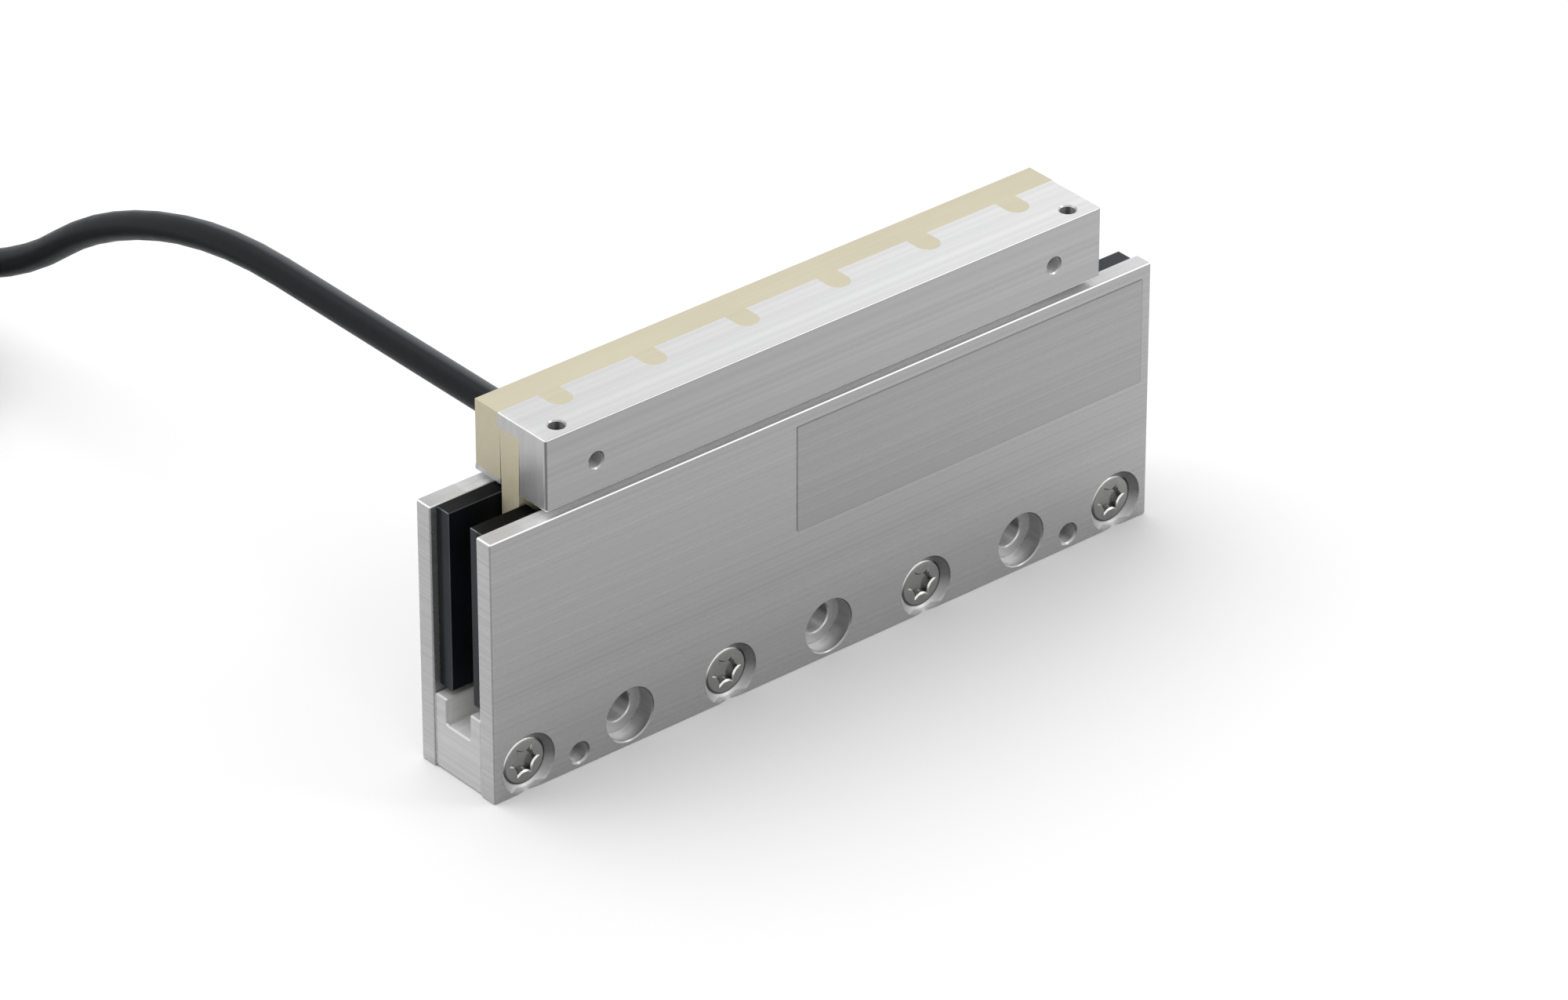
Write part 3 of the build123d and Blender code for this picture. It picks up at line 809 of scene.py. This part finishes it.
def star_cutter(settings):
    """The star recess as a solid, its mouth at height 0: six arms with rounded roots and a bevelled mouth."""
    bevel = 0.14
    above = 0.02
    rounding = 0.5
    draft = 0.92
    start_piece()
    bpy.ops.mesh.primitive_circle_add(vertices=12, radius=settings.star_tip / 2, fill_type="NGON",
                                      location=(0, 0, above))
    cutter = bpy.context.object
    bpy.ops.object.mode_set(mode="EDIT")
    choose("VERT", lambda v: v.index % 2 == 0)
    inward = settings.star_root / settings.star_tip
    bpy.ops.transform.resize(value=(inward, inward, 1))
    bpy.ops.mesh.bevel(offset=rounding, segments=5, affect="VERTICES")
    bpy.ops.mesh.select_all(action="SELECT")
    bpy.ops.mesh.extrude_region_move(TRANSFORM_OT_translate={"value": (0, 0, -above)})
    bpy.ops.mesh.inset(thickness=bevel)
    bpy.ops.transform.translate(value=(0, 0, -bevel))
    bpy.ops.mesh.extrude_region_move(TRANSFORM_OT_translate={"value": (0, 0, bevel - settings.star_depth)})
    bpy.ops.transform.resize(value=(draft, draft, 1))
    bpy.ops.mesh.select_all(action="SELECT")
    bpy.ops.mesh.normals_make_consistent(inside=False)
    bpy.ops.object.mode_set(mode="OBJECT")
    bpy.ops.object.transform_apply(location=True, rotation=False, scale=False)
    return cutter


def screw_profile(head, rim, length):
    """Radius and height of each ring of a countersunk screw, from its face down, in millimetres."""
    flatness = 0.6      # the rim's height as a share of its width
    cone = 1.2          # the height of the head's cone
    shank = 1.2         # the shank's radius
    profile = [(head - rim, 0.0)]
    steps = 4
    for i in range(1, steps + 1):
        turn = pi / 2 * i / steps
        profile.append((head - rim + rim * sin(turn), -rim * (1 - cos(turn)) * flatness))
    profile += [
        (head, -rim * flatness - 0.04),
        (head - cone, -rim * flatness - 0.04 - cone),
        (shank, shank - head - 0.15),
        (shank, 0.3 - length),
        (shank - 0.3, -length),
    ]
    return profile


class MOTOR_OT_fit_screws(bpy.types.Operator):
    """Fits the countersunk screws, with rounded rims and star recesses"""

    bl_idname = "motor.fit_screws"
    bl_label = "Fit the screws"

    def execute(self, context):
        settings = context.scene.motor_screws
        low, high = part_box("front_screw_1")
        head = (high.x - low.x) / 2 / MM
        length = (high.y - low.y) / MM
        screw = turned("screw", screw_profile(head, settings.rim_radius, length), 64)
        cut(screw, star_cutter(settings))
        smooth(screw)
        # Painted highlights on the screws' rims and star bevels, and painted shade on their faces turned down
        # and to the right
        steel = turned_steel("screw_steel_finish", context.scene.motor_finish.screw, 3.0)
        for side, outward in (("front", -1), ("rear", 1)):
            upright = Matrix.Rotation(radians(-90 * outward), 4, "X") @ Matrix.Scale(MM, 4)
            for number in range(1, 5):
                name = f"{side}_screw_{number}"
                low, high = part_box(name)
                face = low.y if outward < 0 else high.y
                spot = Vector(((low.x + high.x) / 2, face, (low.z + high.z) / 2))
                piece = place(copied(screw), f"{side}_star_screw_{number}",
                              Matrix.Translation(spot) @ upright, "yoke", steel, name)
        bpy.data.objects.remove(screw)
        return {"FINISHED"}


class MOTOR_OT_fit_film(bpy.types.Operator):
    """Lays the blank label film on the front plate"""

    bl_idname = "motor.fit_film"
    bl_label = "Fit the label film"

    def execute(self, context):
        settings = context.scene.motor_film
        corner = 0.15
        border = 0.08
        gap = 0.005
        start_piece()
        bpy.ops.mesh.primitive_cube_add(size=1)
        film = context.object
        bpy.ops.object.mode_set(mode="EDIT")
        bpy.ops.mesh.select_all(action="SELECT")
        bpy.ops.transform.resize(value=(settings.length, settings.thickness, settings.height))
        choose("EDGE", lambda e: abs(e.verts[0].co.y - e.verts[1].co.y) > settings.thickness / 2)
        bpy.ops.mesh.bevel(offset=corner, segments=3, affect="EDGES")
        choose("FACE", lambda f: f.normal.y < -0.9)
        bpy.ops.mesh.inset(thickness=border)
        bpy.ops.object.mode_set(mode="OBJECT")
        smooth(film)
        steel = Vector(context.scene.motor_finish.steel)
        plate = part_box("front_yoke_plate")
        seen, edging = [
            brushed_metal(name, steel * dimming, 0.28, *plate, across=2.8)
            for name, dimming in (("label_film_finish", settings.dimming),
                                  ("label_film_border_finish", settings.border_dimming))]
        front = plate[0].y / MM - settings.thickness / 2 - gap
        middle = Vector((settings.middle[0], front, settings.middle[1]))
        place(film, "label_film", Matrix.Scale(MM, 4) @ Matrix.Translation(middle), "yoke", seen)
        film.data.materials.append(edging)
        broad = settings.length * settings.height * MM * MM / 2
        for side in film.data.polygons:
            side.material_index = 0 if side.area > broad else 1
        return {"FINISHED"}


class MOTOR_OT_tie_coil(bpy.types.Operator):
    """Ties the wound cable with a flat wire tie and twists its ends"""

    bl_idname = "motor.tie_coil"
    bl_label = "Tie the wound cable"

    def execute(self, context):
        low, high = [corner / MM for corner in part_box("cable_tie")]
        twist = 1.2     # height of the twisted ends
        width = 4.0
        rounding = 1.3
        middle = (low + high) / 2
        top = high.z - twist
        start_piece()
        bpy.ops.mesh.primitive_cube_add(size=1, location=(middle.x, middle.y, (low.z + top) / 2))
        band = context.object
        bpy.ops.object.mode_set(mode="EDIT")
        bpy.ops.mesh.select_all(action="SELECT")
        bpy.ops.transform.resize(value=(width, high.y - low.y, top - low.z))
        choose("FACE", lambda f: abs(f.normal.x) > 0.9)
        bpy.ops.mesh.delete(type="FACE")
        choose("EDGE", lambda e: abs(e.verts[0].co.x - e.verts[1].co.x) > width / 2)
        bpy.ops.mesh.bevel(offset=rounding, segments=6, affect="EDGES")
        bpy.ops.object.mode_set(mode="OBJECT")
        wall = band.modifiers.new("Wall", "SOLIDIFY")
        wall.thickness = 0.3
        wall.offset = -1.0
        round_off = band.modifiers.new("Edges", "BEVEL")
        round_off.width = 0.08
        round_off.segments = 2
        for modifier in (wall.name, round_off.name):
            make_active(band)
            bpy.ops.object.modifier_apply(modifier=modifier)
        pieces = [band]
        for turn in (0, pi):
            pieces.append(self.twisted_wire(top + twist / 2, middle, high.y, turn))
        make_active(*reversed(pieces))
        bpy.ops.object.join()
        bpy.ops.object.transform_apply(location=True, rotation=True, scale=True)
        smooth(band, 40)
        plastic = plain_plastic("tie_plastic_finish", TIE_BLACK, 0.45)
        place(band, "motor_cable_tie", Matrix.Scale(MM, 4), "coil_unit", plastic, "cable_tie")
        return {"FINISHED"}

    @staticmethod
    def twisted_wire(height, middle, end, turn):
        """One of the tie's two ends, wound round the other along Y."""
        thickness = 0.27
        reach = 0.29
        length = 6.8
        turns = 3.5
        steps = 36
        start_piece()
        bpy.ops.mesh.primitive_circle_add(vertices=10, radius=thickness, fill_type="NGON",
                                          rotation=(pi / 2, 0, 0))
        wire = bpy.context.object
        bpy.ops.object.mode_set(mode="EDIT")
        bpy.ops.mesh.select_all(action="SELECT")
        bpy.ops.transform.translate(value=(reach * cos(turn), 0, reach * sin(turn)))
        for _ in range(steps):
            bpy.ops.mesh.extrude_region_move(TRANSFORM_OT_translate={"value": (0, -length / steps, 0)})
            bpy.ops.transform.rotate(value=2 * pi * turns / steps, orient_axis="Y",
                                     center_override=(0, 0, 0))
        bpy.ops.mesh.select_all(action="SELECT")
        bpy.ops.mesh.normals_make_consistent(inside=False)
        bpy.ops.transform.translate(value=(middle.x, end - 1.9, height))
        bpy.ops.object.mode_set(mode="OBJECT")
        return wire


def along(start, axis):
    """The matrix that stands a piece, turned about Z in millimetres, on a start point along an axis."""
    turn = axis.to_track_quat("Z", "Y").to_matrix().to_4x4()
    return Matrix.Scale(MM, 4) @ Matrix.Translation(start) @ turn


# Radius and height of each ring of the shrunk sleeve, which is a little wavy, and of a ferrule's two ends
SLEEVE_RINGS = [
    (1.5, 0.0), (1.66, 0.05), (1.72, 0.2), (1.74, 1.2), (1.7, 2.4), (1.74, 3.3), (1.72, 3.9), (1.6, 4.5),
    (1.48, 5.2), (1.44, 6.2), (1.47, 7.0), (1.42, 7.9), (1.45, 8.7), (1.4, 8.95), (1.25, 9.0),
]
SLEEVE_START = 4.0
FERRULE_COLLAR = [(0.5, -0.15), (0.58, -0.1), (0.6, 0.0), (0.6, 1.4), (0.55, 1.5), (0.46, 1.6)]
FERRULE_TIP = [(0.46, 5.9), (0.38, 6.0)]
CRIMPS = 5
CRIMP_PITCH = 0.75
# How far the four leads fan out sideways at their tips, and how far ahead their straight runs start and end
LEAD_SPREAD = (-3.9, -1.3, 1.3, 3.9)
FAN_START = 5.0
STRAIGHT_START = 9.0
STRAIGHT_END = 15.0
LEAD_HEIGHT = 0.6


class MOTOR_OT_finish_cable_end(bpy.types.Operator):
    """Fits the shrunk sleeve on the cable's end and the crimped ferrules on the leads"""

    bl_idname = "motor.finish_cable_end"
    bl_label = "Finish the cable's end"

    def execute(self, context):
        end = Vector(TAIL_ROUTE[-1])
        axis = (end - Vector(TAIL_ROUTE[-2])).normalized()
        sleeve = turned("sleeve", SLEEVE_RINGS, 32)
        smooth(sleeve, 50)
        shrunk = plain_plastic("shrink_sleeve_finish", SLEEVE_BLACK, 0.5, 1.0, 0.02)
        place(sleeve, "motor_end_sleeve", along(end - axis * SLEEVE_START, axis), "coil_unit", shrunk,
              "cable_end_sleeve")
        tin = turned_steel("ferrule_finish", TIN)
        rings = list(FERRULE_COLLAR)
        for crimp in range(CRIMPS):
            start = CRIMP_PITCH * crimp
            rings += [(0.47, 1.9 + start), (0.41, 2.05 + start), (0.41, 2.4 + start), (0.47, 2.55 + start)]
        ferrule = turned("ferrule", rings + FERRULE_TIP, 20)
        smooth(ferrule, 50)
        ferrules = []
        for start, direction in self.lead_tips(end, axis):
            twin = copied(ferrule)
            twin.data.transform(along(start, direction))
            ferrules.append(twin)
        bpy.data.objects.remove(ferrule)
        make_active(*ferrules)
        bpy.ops.object.join()
        place(bpy.context.object, "motor_ferrules", Matrix.Identity(4), "coil_unit", tin, "lead_ferrules")
        return {"FINISHED"}

    @staticmethod
    def lead_tips(end, axis):
        """Where each lead's straight run ends, and its direction: the leads fan out on the floor."""
        fan = end + axis * FAN_START
        side = Vector((axis.y, -axis.x, 0)).normalized()
        ahead = Vector((axis.x, axis.y, 0)).normalized()
        down = Vector((0, 0, LEAD_HEIGHT - fan.z))
        for sideways in LEAD_SPREAD:
            drop = fan + ahead * STRAIGHT_START + side * (0.7 * sideways) + down
            tip = fan + ahead * STRAIGHT_END + side * sideways + down
            yield tip, (tip - drop).normalized()


# Each lamp's name, place, size and setting, in metres
LAMPS = [
    ("key_lamp", (-0.15, 0.28, 0.62), 0.55, "key_light"),
    ("rim_lamp", (0.5535, 0.6549, 0.5162), 0.7, "rim_light"),
    ("edge_lamp", (0.5, -0.465, 0.59), 0.25, "edge_light"),
]
LAMPS_AIM = Vector((0, 0, 0.015))


class MOTOR_OT_set_stage(bpy.types.Operator):
    """Lays the floor and sets the lamps and the light from all round"""

    bl_idname = "motor.set_stage"
    bl_label = "Set the stage"

    def execute(self, context):
        stage = context.scene.motor_stage
        start_piece()
        bpy.ops.mesh.primitive_plane_add(size=stage.floor_size)
        floor = context.object
        floor.name = "studio_floor"
        material, _, shader = new_finish("floor_finish", Roughness=0.9)
        shader.inputs["Base Color"].default_value = (*stage.floor_colour, 1.0)
        shader.inputs["Specular IOR Level"].default_value = 0.0
        floor.data.materials.append(material)
        self.light_world(context, stage)
        for name, spot, size, setting in LAMPS:
            self.add_lamp(context, name, spot, size, getattr(stage, setting))
        return {"FINISHED"}

    @staticmethod
    def light_world(context, stage):
        """White to the eye and in gloss; plain light from all round otherwise."""
        world = bpy.data.worlds.new("studio_world")
        context.scene.world = world
        world.use_nodes = True
        tree = world.node_tree
        tree.nodes.clear()
        ray = node(tree, "ShaderNodeLightPath").outputs
        seen = largest(tree, ray["Is Camera Ray"], ray["Is Glossy Ray"])
        strength = mixed(tree, seen, stage.ambient, 1.0)
        light = node(tree, "ShaderNodeBackground", {"Color": (1, 1, 1, 1), "Strength": strength})
        node(tree, "ShaderNodeOutputWorld", {"Surface": light.outputs[0]})

    @staticmethod
    def add_lamp(context, name, spot, size, power):
        """A square lamp that faces the motor."""
        start_piece()
        bpy.ops.object.light_add(type="AREA", location=spot)
        lamp = context.object
        lamp.name = name
        lamp.data.size = size
        lamp.data.energy = power
        aim = LAMPS_AIM - Vector(spot)
        lamp.rotation_euler = aim.to_track_quat("-Z", "Y").to_euler()


class MOTOR_PT_panel(bpy.types.Panel):
    """Lists the steps in the sidebar"""

    bl_label = "Linear motor"
    bl_idname = "MOTOR_PT_panel"
    bl_space_type = "VIEW_3D"
    bl_region_type = "UI"
    bl_category = "Linear motor"

    def draw(self, context):
        for step in STEPS:
            self.layout.operator(step.bl_idname)


STEPS = [
    MOTOR_OT_set_camera,
    MOTOR_OT_tie_coil,
    MOTOR_OT_finish_cable_end,
    MOTOR_OT_lay_cable,
    MOTOR_OT_finish_yoke,
    MOTOR_OT_finish_coil_unit,
    MOTOR_OT_fit_screws,
    MOTOR_OT_fit_film,
    MOTOR_OT_set_stage,
]
SETTINGS = {
    "motor_stage": StageSettings,
    "motor_finish": FinishSettings,
    "motor_screws": ScrewSettings,
    "motor_film": FilmSettings,
    "motor_cable": CableSettings,
}


def register():
    for group in [*SETTINGS.values(), *STEPS, MOTOR_PT_panel]:
        bpy.utils.register_class(group)
    for name, group in SETTINGS.items():
        setattr(bpy.types.Scene, name, bpy.props.PointerProperty(type=group))


def unregister():
    for name in SETTINGS:
        delattr(bpy.types.Scene, name)
    for group in reversed([*SETTINGS.values(), *STEPS, MOTOR_PT_panel]):
        bpy.utils.unregister_class(group)


def main():
    register()
    bpy.ops.motor.set_camera()
    bpy.ops.motor.tie_coil()
    bpy.ops.motor.finish_cable_end()
    bpy.ops.motor.lay_cable()
    bpy.ops.motor.finish_yoke()
    bpy.ops.motor.finish_coil_unit()
    bpy.ops.motor.fit_screws()
    bpy.ops.motor.fit_film()
    bpy.ops.motor.set_stage()


if __name__ == "__main__":
    main()
